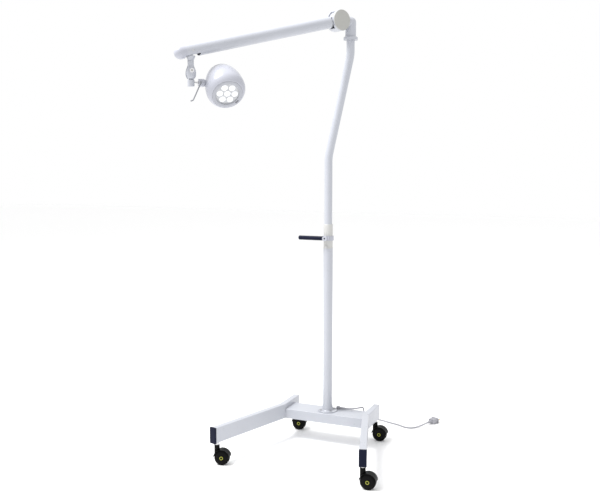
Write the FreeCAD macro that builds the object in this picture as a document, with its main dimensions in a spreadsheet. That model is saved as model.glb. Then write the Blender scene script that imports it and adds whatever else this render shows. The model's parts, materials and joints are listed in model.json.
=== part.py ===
"""Mobile examination lamp: wheeled U-shaped base, telescopic mast, balanced arm, LED head and mains lead.

Millimetres, +Z up, -Y the front of the base (where the two open legs point). The origin is on the floor,
on the axis of the lower mast. The arm, drop link and head are modelled in their own local frames and
placed by the rest angles in the sheet.
"""
import FreeCAD, Part
import math
import os
import re
import Sketcher
from FreeCAD import Placement, Rotation, Vector

doc = FreeCAD.newDocument("ExaminationLamp")

# ----------------------------------------------------------------------------- driving dimensions
DIMENSIONS = [
    # base
    ("leg_height", 60, "height of the rectangular leg tube"),
    ("leg_thick", 26, "thickness of the leg tube"),
    ("leg_wall", 2, "wall of the leg tube"),
    ("leg_round", 3, "rounding of the long edges of the leg tube"),
    ("leg_floor", 87, "underside of the legs above the floor"),
    ("toe_reach", 426, "front ends of the legs in front of the mast"),
    ("splay", 17.15, "angle of the front legs to the sides, degrees"),
    ("bend_half", 181, "half distance between the legs behind their bends"),
    ("bend_reach", 50, "bends of the legs in front of the mast"),
    ("heel_reach", 96, "rear ends of the legs behind the mast"),
    ("beam_height", 40, "height of the solid cross beam"),
    ("beam_depth", 100, "depth of the cross beam"),
    ("beam_round", 2, "rounding of the long edges of the cross beam"),
    ("cap_face", 8, "thickness of an end cap in front of its leg"),
    ("cap_plug", 9, "length of an end cap inside its leg"),
    ("cap_lip", 1.2, "step of an end cap around its leg"),
    # casters
    ("wheel_radius", 28.5, "radius of a caster wheel"),
    ("wheel_width", 12.5, "width of one of the two wheels of a caster"),
    ("wheel_gap", 4.5, "middle of the caster to the inner face of a wheel"),
    ("web_thick", 8, "thickness of the central web of a caster housing"),
    ("hood_inner", 29.7, "inner radius of the caster hood"),
    ("hood_outer", 32.2, "outer radius of the caster hood"),
    ("hood_width", 34, "width of the caster hood"),
    ("axle_radius", 4, "radius of a caster axle"),
    ("hub_radius", 9.5, "radius of the recess around a wheel's hub"),
    ("hub_recess", 1.5, "depth of the recess around a wheel's hub"),
    ("tyre_edge", 6.5, "width of the straight tread of a wheel"),
    ("trail", 20, "caster axle behind its swivel stem"),
    ("stem_radius", 5, "radius of a caster stem"),
    ("stem_inset", 16, "caster stem from the end of its leg"),
    ("boss_radius", 10.5, "radius of the stem boss on a caster housing"),
    ("boss_top", 77, "top of the stem boss above the floor"),
    ("stem_bottom", 60, "lower end of a caster stem above the floor"),
    ("stem_top", 116, "upper end of a caster stem above the floor"),
    # mast
    ("mast_radius", 19, "outer radius of the lower mast tube"),
    ("mast_wall", 2, "wall of the lower mast tube"),
    ("mast_top", 801, "top of the lower mast tube above the floor"),
    ("flange_radius", 40, "radius of the mast flange"),
    ("flange_thick", 4, "thickness of the mast flange"),
    ("flange_neck", 24, "height of the socket neck of the flange"),
    ("screw_radius", 3, "radius of a flange screw"),
    ("screw_depth", 14, "depth of a screw hole in the cross beam"),
    ("screw_head", 3.5, "height of a screw head"),
    ("screw_circle", 31, "radius of the flange screw circle"),
    ("sleeve_radius", 18.5, "outer radius of the clamp sleeve above the lower mast"),
    ("sleeve_top", 898, "top of the clamp sleeve above the floor"),
    ("sleeve_plug", 70, "length of the clamp sleeve inside the lower mast"),
    ("upper_radius", 16, "outer radius of the upper mast tube"),
    ("upper_wall", 1.8, "wall of the upper mast tube"),
    ("upper_bottom", 640, "lower end of the upper mast tube above the floor"),
    ("crank_low", 1166, "height of the lower bend of the upper mast"),
    ("crank_high", 1560, "height of the upper bend of the upper mast"),
    ("crank_offset", 90, "sideways offset between the two bends"),
    ("crank_radius", 150, "centre line radius of the two bends"),
    ("upper_top", 1626, "upper end of the upper mast tube above the floor"),
    ("lock_height", 808, "height of the lock screw above the floor"),
    ("lock_radius", 3, "radius of the lock screw"),
    ("fit_gap", 0.06, "radial clearance of a shaft in its bore"),
    # push handle
    ("handle_height", 842, "height of the push handle above the floor"),
    ("grip_radius", 8.5, "radius of the handle grip"),
    ("grip_length", 104, "length of the handle grip"),
    ("grip_core", 4.5, "radius of the bar inside the grip"),
    ("grip_start", 13, "start of the grip beside the mast axis"),
    ("handle_front", 27, "axis of the grip in front of the mast axis"),
    ("ring_radius", 22.5, "outer radius of the handle ring around the clamp sleeve"),
    ("ring_height", 18, "height of the handle ring"),
    # elbow and hinge drum
    ("elbow_radius", 21, "outer radius of the elbow"),
    ("collar_radius", 27.8, "radius of the elbow collar"),
    ("collar_bottom", 1616, "underside of the elbow collar above the floor"),
    ("collar_top", 1632, "top of the elbow collar above the floor"),
    ("socket_top", 1627, "inner end of the counterbore that takes the upper mast"),
    ("hinge_height", 1683.5, "height of the arm hinge above the floor"),
    ("hinge_reach", 62, "arm hinge from the swivel axis"),
    ("spindle_radius", 10, "radius of the swivel spindle"),
    ("spindle_top", 1674, "top of the swivel spindle above the floor"),
    ("spindle_bottom", 1575, "lower end of the swivel spindle above the floor"),
    ("drum_radius", 39.5, "outer radius of the hinge drum"),
    ("drum_inner", 35, "radius of the cavity of the hinge drum"),
    ("drum_half", 24, "half width of the hinge drum without its covers"),
    ("cheek_inner", 16, "half width of the cavity of the hinge drum"),
    ("cover_thick", 3, "thickness of a drum cover"),
    ("slot_low", 54, "lower end of the drum's slot below the horizontal, degrees"),
    ("slot_high", 56, "upper end of the drum's slot above the horizontal, degrees"),
    ("hinge_pin_radius", 5, "radius of the arm hinge pin"),
    # arm
    ("arm_azimuth", 238, "direction of the arm in plan, degrees"),
    ("arm_slope", 14.23, "rest slope of the arm below the horizontal, degrees"),
    ("arm_length", 651.7, "arm hinge to tip pin"),
    ("arm_radius", 22, "outer radius of the arm tube"),
    ("arm_wall", 1.6, "wall of the arm tube"),
    ("arm_start", 44, "arm hinge to the root end of the arm tube"),
    ("arm_end", 24, "tip pin to the end of the arm tube"),
    ("tip_length", 62, "tip pin to the outer end of the tip cap"),
    ("slot_back", 29, "tip pin to the inner end of the slot"),
    ("slot_half", 17, "half width of the slot under the arm tip"),
    ("tongue_thick", 12, "thickness of the arm root tongue"),
    ("tongue_half", 12, "half height of the arm root tongue"),
    ("shield_radius", 34.6, "outer radius of the shield in the drum's slot"),
    ("shield_half", 15, "half width of the shield"),
    ("shield_low", 30, "lower end of the shield above the arm, degrees"),
    ("shield_high", 84, "upper end of the shield above the arm, degrees"),
    ("tip_notch", 6, "depth of the notch in the tip cap, in line with the slot"),
    ("rod_rise", 12, "parallel rod above the hinge and the tip pin"),
    ("rod_side", 7, "parallel rod beside the middle plane of the arm"),
    ("rod_radius", 2.5, "radius of the parallel rod"),
    ("rod_eye", 4.5, "radius of the eyes of the parallel rod"),
    ("rod_pin", 2.2, "radius of the two pivot posts of the parallel rod"),
    ("rod_clearance", 0.35, "radial clearance of the rod on its tip post"),
    ("spring_radius", 8, "mean radius of the balance spring"),
    ("spring_wire", 1.25, "wire radius of the balance spring"),
    ("spring_start", 92, "arm hinge to the root end of the balance spring"),
    ("spring_pitch", 10, "pitch of the stretched balance spring"),
    ("spring_turns", 24, "turns of the balance spring"),
    ("spring_length", 244, "length of the balance spring"),
    ("spring_side", -2, "balance spring beside the middle plane of the arm"),
    ("spring_fall", 7, "balance spring below the arm axis"),
    # drop link, knuckle
    ("tip_pin_radius", 4, "radius of the tip pin"),
    ("hub_rim", 16.2, "rim radius of the bowl of the tip hub"),
    ("neck_radius", 10.8, "radius of the drop link neck"),
    ("link_spindle", 6, "radius of the drop link spindle"),
    ("hub_bottom", 35, "underside of the tip hub below the tip pin"),
    ("link_azimuth", 43.6, "direction of the head pin in plan, degrees"),
    ("knuckle_drop", 67, "knuckle bolt below the tip pin"),
    ("tongue_gap", 6.3, "half width of the slot between the knuckle cheeks"),
    ("bolt_radius", 4, "radius of the knuckle bolt"),
    ("bolt_head", 8.2, "radius of the head of the knuckle bolt"),
    ("bolt_half", 19.5, "knuckle bolt head in front of the drop link axis"),
    ("head_pin_drop", 106.5, "head pin below the tip pin"),
    ("link_end", 120.5, "lower end of the knuckle block below the tip pin"),
    ("head_pin_radius", 3.5, "radius of the head pin"),
    # head
    ("head_reach", 115, "axis of the lamp head beside the drop link"),
    ("stem_body", 13.5, "radius of the head stem"),
    ("stem_neck", 11, "radius of the head stem in the shell"),
    ("rod_grip", 2.3, "radius of the aiming rod"),
    ("head_forward", 33.5, "centre of the lamp head in front of the head pin"),
    ("head_tilt", 50.7, "rest tilt of the beam away from straight down, degrees"),
    ("shell_radius", 68.3, "largest radius of the head shell"),
    ("shell_rear", 117, "widest plane of the head shell to its rear end"),
    ("shell_rim", 56, "outer radius of the head shell's front rim"),
    ("shell_wall", 3, "wall of the head shell"),
    ("shell_front", 30, "widest plane of the head shell to its front rim"),
    ("bezel_outer", 52.6, "outer radius of the bezel ring"),
    ("button_radius", 7, "radius of the switch button"),
    ("bezel_cup", 46.6, "outer radius of the bezel's cup inside the shell"),
    ("bezel_inner", 41, "inner radius of the bezel ring"),
    ("lens_radius", 11.6, "radius of one lens"),
    ("lens_circle", 26.5, "radius of the circle of six lenses"),
    # mains lead
    ("cord_radius", 3, "radius of the mains lead"),
    ("coil_x", 0, "centre of the stored coil"),
    ("coil_y", 288, "centre of the stored coil"),
    ("coil_ring", 36, "radius of the middle of the coil's turns"),
    ("coil_half", 13.2, "half width of the bundle of turns"),
    ("coil_height", 20, "height of the bundle of turns"),
]

sheet = doc.addObject("Spreadsheet::Sheet", "Sizes")
for row, (alias, value, meaning) in enumerate(DIMENSIONS, start=1):
    sheet.set(f"A{row}", meaning)
    sheet.set(f"B{row}", str(value))
    sheet.setAlias(f"B{row}", alias)
doc.recompute()


class Sizes:
    """The sheet's values as plain numbers, for placements and computed shapes."""


size = Sizes()
for alias, _, _ in DIMENSIONS:
    setattr(size, alias, float(sheet.get(alias)))

ALIASES = {alias for alias, _, _ in DIMENSIONS}
subparts = []


# ----------------------------------------------------------------------------- helpers
def bound(text):
    """An expression in which every alias refers to the sheet."""
    def refer(match):
        word = match.group()
        return f"Sizes.{word}" if word in ALIASES else word
    return re.sub(r"[a-z][a-z_]*", refer, text)


def bind(thing, prop, text):
    thing.setExpression(prop, bound(str(text)))


def subpart(thing, label, placement=None):
    """Registers an object as a named sub-part of the lamp."""
    thing.Label = label
    if placement is not None:
        thing.Placement = placement
    subparts.append(thing)
    return thing


def new_body(label, placement=None):
    return subpart(doc.addObject("PartDesign::Body", "Body"), label, placement)


def new_sketch(body, plane, offset=None):
    """An empty sketch on one of the body's own planes, moved along the plane's normal."""
    sketch = body.newObject("Sketcher::SketchObject", "Outline")
    base = [feature for feature in body.Origin.OriginFeatures if feature.Role == plane][0]
    sketch.AttachmentSupport = [(base, "")]
    sketch.MapMode = "FlatFace"
    if offset is not None:
        bind(sketch, "AttachmentOffset.Base.z", offset)
    return sketch


def locate(sketch, geometry, position, place, start):
    """Ties one sketch point to the origin with expressions."""
    ties = ((place[0], "DistanceX", -2, start.x), (place[1], "DistanceY", -1, start.y))
    for text, kind, axis, value in ties:
        if str(text) == "0":
            sketch.addConstraint(Sketcher.Constraint("PointOnObject", geometry, position, axis))
        else:
            index = sketch.addConstraint(Sketcher.Constraint(kind, -1, 1, geometry, position, value))
            bind(sketch, f"Constraints[{index}]", text)


def polygon(sketch, points):
    """A closed outline through points that are pairs of expressions."""
    count = len(points)
    first = len(sketch.Geometry)
    ring = [Vector(10 * math.cos(2 * math.pi * i / count), 10 * math.sin(2 * math.pi * i / count), 0)
            for i in range(count)]
    sketch.addGeometry([Part.LineSegment(ring[i], ring[(i + 1) % count]) for i in range(count)], False)
    for i in range(count):
        sketch.addConstraint(Sketcher.Constraint("Coincident", first + i, 2, first + (i + 1) % count, 1))
    for i, place in enumerate(points):
        locate(sketch, first + i, 1, place, ring[i])
    return sketch


def circle(sketch, centre, radius):
    """A circle whose centre and radius are expressions."""
    index = sketch.addGeometry(Part.Circle(Vector(1, 1, 0), Vector(0, 0, 1), 5), False)
    locate(sketch, index, 3, centre, Vector(1, 1, 0))
    constraint = sketch.addConstraint(Sketcher.Constraint("Radius", index, 5))
    bind(sketch, f"Constraints[{constraint}]", radius)
    return sketch


def pad(body, sketch, length, backwards=False):
    feature = body.newObject("PartDesign::Pad", "Pad")
    feature.Profile = sketch
    bind(feature, "Length", length)
    feature.Reversed = backwards
    doc.recompute()
    return feature


def removes(body, kind, settings):
    """Adds a cutting feature and makes sure that it takes material away."""
    before = body.Shape.Volume
    feature = body.newObject(kind, "Cut")
    settings(feature)
    doc.recompute()
    if not body.Shape.Volume < before - 0.01:
        raise ValueError(f"{body.Label}: {feature.Name} removes nothing")
    return feature


def pocket(body, sketch, length=None, backwards=False):
    def settings(feature):
        feature.Profile = sketch
        feature.Reversed = backwards
        if length is None:
            feature.Type = "ThroughAll"
        else:
            bind(feature, "Length", length)
    return removes(body, "PartDesign::Pocket", settings)


def turned(label, profile, placement=None):
    """A body of revolution about its own Z axis from (radius, height) expressions."""
    body = new_body(label, placement)
    sketch = polygon(new_sketch(body, "XZ_Plane"), profile)
    feature = body.newObject("PartDesign::Revolution", "Revolution")
    feature.Profile = sketch
    feature.ReferenceAxis = (sketch, ["V_Axis"])
    feature.Angle = 360
    doc.recompute()
    return body


def plate(label, plane, outline, start, thickness, placement=None):
    """A body padded from a polygon on a plane, from start along the plane's normal."""
    body = new_body(label, placement)
    pad(body, polygon(new_sketch(body, plane, start), outline), thickness)
    return body


def round_edges(body, radius, wanted):
    """Rounds the edges of a body that the test picks."""
    names = [f"Edge{i}" for i, edge in enumerate(body.Shape.Edges, start=1) if wanted(edge)]
    base = body.Tip
    feature = body.newObject("PartDesign::Fillet", "Round")
    feature.Base = (base, names)
    bind(feature, "Radius", radius)
    doc.recompute()


def is_circle(edge):
    return isinstance(edge.Curve, Part.Circle)


def runs_along_x(edge):
    return abs(edge.tangentAt(edge.FirstParameter).x) > 0.99


def primitive(kind, rotation=None, at=("0", "0", "0"), **lengths):
    """A Part primitive with its lengths and its place bound to expressions."""
    thing = doc.addObject(kind, kind.split("::")[1])
    for prop, text in lengths.items():
        bind(thing, prop, text)
    if rotation is not None:
        thing.Placement = Placement(Vector(), rotation)
    for axis, text in zip("xyz", at):
        if text != "0":
            bind(thing, f"Placement.Base.{axis}", text)
    return thing


def cylinder(radius, length, at=("0", "0", "0"), rotation=None):
    return primitive("Part::Cylinder", rotation, at, Radius=radius, Height=length)


def block(length, width, height, at):
    return primitive("Part::Box", None, at, Length=length, Width=width, Height=height)


def fused(parts):
    thing = doc.addObject("Part::MultiFuse", "Fuse")
    thing.Shapes = parts
    thing.Refine = True
    doc.recompute()
    return thing


def cut(base, tool):
    thing = doc.addObject("Part::Cut", "Cut")
    thing.Base = base
    thing.Tool = tool
    doc.recompute()
    if not thing.Shape.Volume < base.Shape.Volume - 0.01:
        raise ValueError(f"{thing.Name} removes nothing")
    return thing


def computed(label, shape, placement=None):
    """A sub-part whose shape is worked out here from the sheet's values."""
    thing = doc.addObject("Part::Feature", "Computed")
    thing.Shape = shape
    return subpart(thing, label, (placement or Placement()) * shape.Placement)


def group(shapes):
    return Part.makeCompound(shapes)


ALONG_X = Rotation(Vector(0, 1, 0), 90)
ALONG_MINUS_X = Rotation(Vector(0, 1, 0), -90)
ALONG_Y = Rotation(Vector(1, 0, 0), -90)
ALONG_MINUS_Y = Rotation(Vector(1, 0, 0), 90)

# ----------------------------------------------------------------------------- frames at rest
def turn_about_z(angle):
    return Rotation(Vector(0, 0, 1), angle)


def moved(frame, offset, rotation=None):
    """A frame moved, then turned, in its own axes."""
    return frame * Placement(offset, rotation or Rotation())


swivel_frame = Placement(Vector(size.crank_offset, 0, size.hinge_height), turn_about_z(size.arm_azimuth))
hinge_frame = moved(swivel_frame, Vector(size.hinge_reach, 0, 0))
arm_frame = moved(hinge_frame, Vector(), Rotation(Vector(0, 1, 0), size.arm_slope))
tip_point = arm_frame.multVec(Vector(size.arm_length, 0, 0))
tip_frame = Placement(tip_point, turn_about_z(size.arm_azimuth))
link_frame = Placement(tip_point, turn_about_z(size.link_azimuth))
knuckle_frame = moved(link_frame, Vector(0, 0, -size.knuckle_drop))
head_pin_frame = moved(link_frame, Vector(0, 0, -size.head_pin_drop))
beam_frame = moved(head_pin_frame, Vector(size.head_reach, 0, 0), Rotation(Vector(1, 0, 0), -size.head_tilt))
head_frame = moved(beam_frame, Vector(0, 0, -size.head_forward))


# ----------------------------------------------------------------------------- base
def leg_outline(side, half, over="0", heel_over="0"):
    """Plan of a bent leg: its faces stand half on each side of the centre line, its ends run over."""
    reach = f"(toe_reach - bend_reach + ({over}))"
    toe = (f"bend_half + {reach} * tan(splay)", f"-bend_reach - {reach}")
    outline = []
    for face in (1, -1):
        toe_corner = (f"{toe[0]} + {face} * cos(splay) * ({half})",
                      f"{toe[1]} + {face} * sin(splay) * ({half})")
        bend = (f"bend_half + {face} * ({half})", f"-bend_reach + {face} * tan(splay / 2) * ({half})")
        heel = (f"bend_half + {face} * ({half})", f"heel_reach + ({heel_over})")
        outline += [toe_corner, bend, heel][::face]
    return [(f"{side} * ({x})", y) for x, y in outline]


def leg_points(side):
    """Centre of the toe, unit vector from the toe along the leg, and centre of the heel in plan."""
    splay = math.radians(size.splay)
    toe_half = size.bend_half + (size.toe_reach - size.bend_reach) * math.tan(splay)
    toe = Vector(side * toe_half, -size.toe_reach, 0)
    inward = Vector(-side * math.sin(splay), math.cos(splay), 0)
    return toe, inward, Vector(side * size.bend_half, size.heel_reach, 0)


def stem_places():
    """Plan position of the four caster stems, by caster name."""
    places = {}
    for name, side in (("left", -1), ("right", 1)):
        toe, inward, heel = leg_points(side)
        places[f"front_{name}"] = toe + inward * size.stem_inset
        places[f"rear_{name}"] = heel - Vector(0, size.stem_inset, 0)
    return places


def runs_along_leg(edge):
    """Picks the long horizontal edges of a leg, not those across its ends or up its bend."""
    return abs(edge.tangentAt(edge.FirstParameter).z) < 0.01 and edge.Length > 2 * size.leg_thick


def make_leg(name, side):
    body = plate(f"{name}_leg", "XY_Plane", leg_outline(side, "leg_thick / 2"), "leg_floor", "leg_height")
    round_edges(body, "leg_round", runs_along_leg)
    inside = polygon(new_sketch(body, "XY_Plane", "leg_floor + leg_wall"),
                     leg_outline(side, "leg_thick / 2 - leg_wall", "1", "-leg_wall"))
    pocket(body, inside, "leg_height - 2 * leg_wall", backwards=True)
    holes = new_sketch(body, "XY_Plane", "leg_floor - 1")
    circle(holes, (f"{side} * (bend_half + (toe_reach - bend_reach) * tan(splay) - stem_inset * sin(splay))",
                   "-toe_reach + stem_inset * cos(splay)"), "stem_radius + fit_gap")
    circle(holes, (f"{side} * bend_half", "heel_reach - stem_inset"), "stem_radius + fit_gap")
    pocket(body, holes, "leg_wall + 2", backwards=True)


def make_beam():
    """Solid cross beam between the legs, which also weights the base."""
    half = "(bend_half - leg_thick / 2)"
    outline = [(f"-{half}", "-beam_depth / 2"), (half, "-beam_depth / 2"),
               (half, "beam_depth / 2"), (f"-{half}", "beam_depth / 2")]
    body = plate("cross_beam", "XY_Plane", outline, "leg_floor", "beam_height")
    round_edges(body, "beam_round", runs_along_x)
    holes = new_sketch(body, "XY_Plane", "leg_floor + beam_height - screw_depth")
    for x, y in screw_places():
        circle(holes, (x, y), "screw_radius + fit_gap")
    pocket(body, holes, "screw_depth + 1", backwards=True)


def screw_places():
    """The four flange screws, on the diagonals of the mast."""
    reach = "screw_circle / sqrt(2)"
    return [(f"{a} * {reach}", f"{b} * {reach}") for a in (1, -1) for b in (1, -1)]


def end_cap(toe, outward):
    """A moulded cap: a plug inside the leg and a lipped face in front of it."""
    def slab(thickness, height, start, length):
        box = Part.makeBox(length, thickness, height, Vector(start, -thickness / 2, -height / 2))
        return box.makeFillet(size.cap_lip, [edge for edge in box.Edges if runs_along_x(edge)])
    inner = 2 * (size.leg_wall + size.fit_gap)
    plug = slab(size.leg_thick - inner, size.leg_height - inner, -size.cap_plug, size.cap_plug + 1)
    face = slab(size.leg_thick + 2 * size.cap_lip, size.leg_height + 2 * size.cap_lip, 0, size.cap_face)
    front = [edge for edge in face.Edges if edge.CenterOfMass.x > size.cap_face - 0.01]
    cap = plug.fuse(face.makeFillet(size.cap_lip, front)).removeSplitter()
    angle = math.degrees(math.atan2(outward.y, outward.x))
    middle = Vector(toe.x, toe.y, size.leg_floor + size.leg_height / 2)
    cap.Placement = Placement(middle, Rotation(Vector(0, 0, 1), angle))
    return cap


def make_end_caps():
    """Caps in the front ends of both legs; the rear ends are closed."""
    caps = []
    for side in (-1, 1):
        toe, inward = leg_points(side)[:2]
        caps.append(end_cap(toe, -inward))
    computed("leg_end_caps", group(caps))


# ----------------------------------------------------------------------------- casters
# direction of each caster's trail in plan, in degrees, as the lamp was last pushed
TRAILS = {"front_left": 14, "front_right": 6, "rear_left": 8, "rear_right": 3}


def make_caster(name, place):
    """A twin-wheel caster in its own frame: stem axis on Z, trail along X, wheels on the Y axis."""
    frame = Placement(Vector(place.x, place.y, 0), Rotation(Vector(0, 0, 1), TRAILS[name]))
    across = ("trail", "-hood_width / 2", "wheel_radius")
    web = cylinder("hood_inner - 0.5", "web_thick", ("trail", "-web_thick / 2", "wheel_radius"), ALONG_Y)
    roof = cylinder("hood_outer", "hood_width", across, ALONG_Y)
    boss = cylinder("boss_radius", "boss_top - wheel_radius", ("0", "0", "wheel_radius"))
    well = cylinder("hood_inner", "hood_width + 2", ("trail", "-hood_width / 2 - 1", "wheel_radius"), ALONG_Y)
    # the hood ends above the axle, so that the wheels stand clear below it
    under = block("4 * hood_outer", "hood_width + 2", "hood_outer + 10",
                  ("trail - 2 * hood_outer", "-hood_width / 2 - 1", "wheel_radius - hood_outer - 5"))
    hood = cut(cut(fused([roof, boss]), well), under)
    shoe = cut(web, block("4 * hood_outer", "hood_width + 2", "hood_outer",
                          ("trail - 2 * hood_outer", "-hood_width / 2 - 1", "-hood_outer + 14")))
    hole = cylinder("axle_radius + fit_gap", "hood_width + 2",
                    ("trail", "-hood_width / 2 - 1", "wheel_radius"), ALONG_Y)
    bore = cylinder("stem_radius + fit_gap", "boss_top", ("0", "0", "stem_bottom - 1"))
    subpart(cut(fused([hood, shoe]), fused([hole, bore])), f"{name}_caster_housing", frame)

    reach = size.wheel_gap + size.wheel_width - size.hub_recess - 1
    axle = cylinder("axle_radius", "2 * (wheel_gap + wheel_width - hub_recess - 1)")
    subpart(axle, f"{name}_caster_axle", moved(frame, Vector(size.trail, -reach, size.wheel_radius), ALONG_Y))

    for side, label in ((1, "inner"), (-1, "outer")):
        centre = Vector(size.trail, side * size.wheel_gap, size.wheel_radius)
        make_wheel(f"{name}_wheel_{label}", moved(frame, centre, Rotation(Vector(1, 0, 0), -90 * side)))


def make_wheel(label, placement):
    """One wheel about its own Z axis: straight tread, domed outer face and a recessed hub with its bore."""
    dome = "(wheel_width - tyre_edge)"
    turned(label, [("axle_radius + fit_gap", "0"), ("wheel_radius - 2", "0"), ("wheel_radius", "2"),
                   ("wheel_radius", "tyre_edge"), ("wheel_radius - 1.2", f"tyre_edge + 0.35 * {dome}"),
                   ("wheel_radius - 4", f"tyre_edge + 0.63 * {dome}"),
                   ("wheel_radius - 8.5", f"tyre_edge + 0.83 * {dome}"),
                   ("wheel_radius - 13.5", f"tyre_edge + 0.95 * {dome}"),
                   ("hub_radius", "wheel_width"), ("hub_radius - 0.8", "wheel_width - hub_recess"),
                   ("axle_radius + fit_gap", "wheel_width - hub_recess")], placement)


def make_stems():
    """Four threaded stems, each with its flange under the leg; they are screwed into the legs."""
    profile = [(0, size.stem_bottom), (size.stem_radius, size.stem_bottom),
               (size.stem_radius, size.boss_top + 1), (size.boss_radius - 2, size.boss_top + 1),
               (size.boss_radius - 2, size.leg_floor), (size.stem_radius, size.leg_floor),
               (size.stem_radius, size.stem_top), (0, size.stem_top)]
    points = [Vector(x, 0, z) for x, z in profile]
    face = Part.Face(Part.makePolygon(points + points[:1]))
    stem = face.revolve(Vector(), Vector(0, 0, 1), 360)
    computed("caster_stems", group([stem.translated(place) for place in stem_places().values()]))


# ----------------------------------------------------------------------------- mast and handle
def make_mast():
    top = "leg_floor + beam_height"
    neck = f"{top} + flange_neck"
    flange = turned("mast_flange", [
        ("mast_radius + fit_gap", top), ("flange_radius - 1", top), ("flange_radius", f"{top} + 1"),
        ("flange_radius", f"{top} + flange_thick - 1"), ("flange_radius - 1", f"{top} + flange_thick"),
        ("mast_radius + 5", f"{top} + flange_thick"), ("mast_radius + 3", f"{top} + flange_thick + 2"),
        ("mast_radius + 2", neck), ("mast_radius + fit_gap", neck)])
    holes = new_sketch(flange, "XY_Plane", f"{top} - 1")
    for x, y in screw_places():
        circle(holes, (x, y), "screw_radius + fit_gap")
    pocket(flange, holes, "flange_thick + 2", backwards=True)

    screw = []
    for x, y in screw_places():
        shank = cylinder("screw_radius", "flange_thick + screw_depth - 1", (x, y, f"{top} - screw_depth + 1"))
        head = cylinder("screw_radius * 1.7", "screw_head", (x, y, f"{top} + flange_thick"))
        screw.append(fused([shank, head]))
    compound = doc.addObject("Part::Compound", "Screws")
    compound.Links = screw
    doc.recompute()
    subpart(compound, "flange_screws")

    turned("lower_mast", [("mast_radius - mast_wall", top), ("mast_radius", top), ("mast_radius", "mast_top"),
                          ("mast_radius - mast_wall", "mast_top")])

    inside = "mast_radius - mast_wall - fit_gap"
    bore = "upper_radius + fit_gap"
    sleeve = turned("clamp_sleeve", [
        (bore, "mast_top - sleeve_plug"), (inside, "mast_top - sleeve_plug"), (inside, "mast_top"),
        ("mast_radius + 0.6", "mast_top"), ("mast_radius + 0.6", "mast_top + 3"),
        ("sleeve_radius", "mast_top + 4"),
        ("sleeve_radius", "sleeve_top - 2"), ("sleeve_radius - 1.2", "sleeve_top"), (bore, "sleeve_top")])
    hole = new_sketch(sleeve, "XZ_Plane")
    circle(hole, ("0", "lock_height"), "lock_radius + fit_gap")
    pocket(sleeve, hole, "mast_radius + 5")

    under_head = "sleeve_radius - upper_radius + 2.5"
    over_head = "sleeve_radius - upper_radius + 6"
    knob = [("0", "0"), ("lock_radius", "0"), ("lock_radius", under_head), ("lock_radius + 2", under_head),
            ("lock_radius + 2", over_head), ("0", over_head)]
    tip = Vector(0, -size.upper_radius - 0.4, size.lock_height)
    turned("lock_screw", knob, Placement(tip, ALONG_MINUS_Y))


def make_upper_mast():
    """Cranked tube: two straight runs and a slanted one, joined by tangent arcs."""
    path = rounded_path([Vector(0, 0, size.upper_bottom), Vector(0, 0, size.crank_low),
                         Vector(size.crank_offset, 0, size.crank_high),
                         Vector(size.crank_offset, 0, size.upper_top)], size.crank_radius)
    outer = swept(path, size.upper_radius)
    inner = swept(path, size.upper_radius - size.upper_wall)
    computed("upper_mast", outer.cut(inner))


def rounded_path(points, radius=None):
    """A wire of straight runs and tangent arcs; without a radius, each arc is as large as its runs allow."""
    edges = []
    start = points[0]
    for i in range(1, len(points) - 1):
        before = points[i] - points[i - 1]
        after = points[i + 1] - points[i]
        half = before.getAngle(after) / 2
        reach = 0.45 * min(before.Length, after.Length) if radius is None else radius * math.tan(half)
        bend = reach / math.tan(half)
        before.normalize()
        after.normalize()
        first = points[i] - before * reach
        last = points[i] + after * reach
        middle = (first + last) * 0.5
        centre_way = (middle - points[i]).normalize()
        centre = points[i] + centre_way * (bend / math.cos(half))
        top = centre - centre_way * bend
        edges += [Part.LineSegment(start, first).toShape(), Part.Arc(first, top, last).toShape()]
        start = last
        if radius is None:
            print(f"cord arc {i}: radius {bend:.1f}, turn {math.degrees(2 * half):.0f} degrees")
    edges.append(Part.LineSegment(start, points[-1]).toShape())
    return Part.Wire(edges)


def swept(path, radius):
    """A round tube's solid along a wire, compared with its section times its length."""
    edge = path.Edges[0]
    start, way = edge.valueAt(edge.FirstParameter), edge.tangentAt(edge.FirstParameter)
    solid = path.makePipeShell([Part.Wire(Part.makeCircle(radius, start, way))], True, False)
    expected = math.pi * radius ** 2 * path.Length
    if abs(solid.Volume - expected) > 0.01 * expected:
        raise ValueError("a swept tube has the wrong volume")
    return solid


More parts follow.
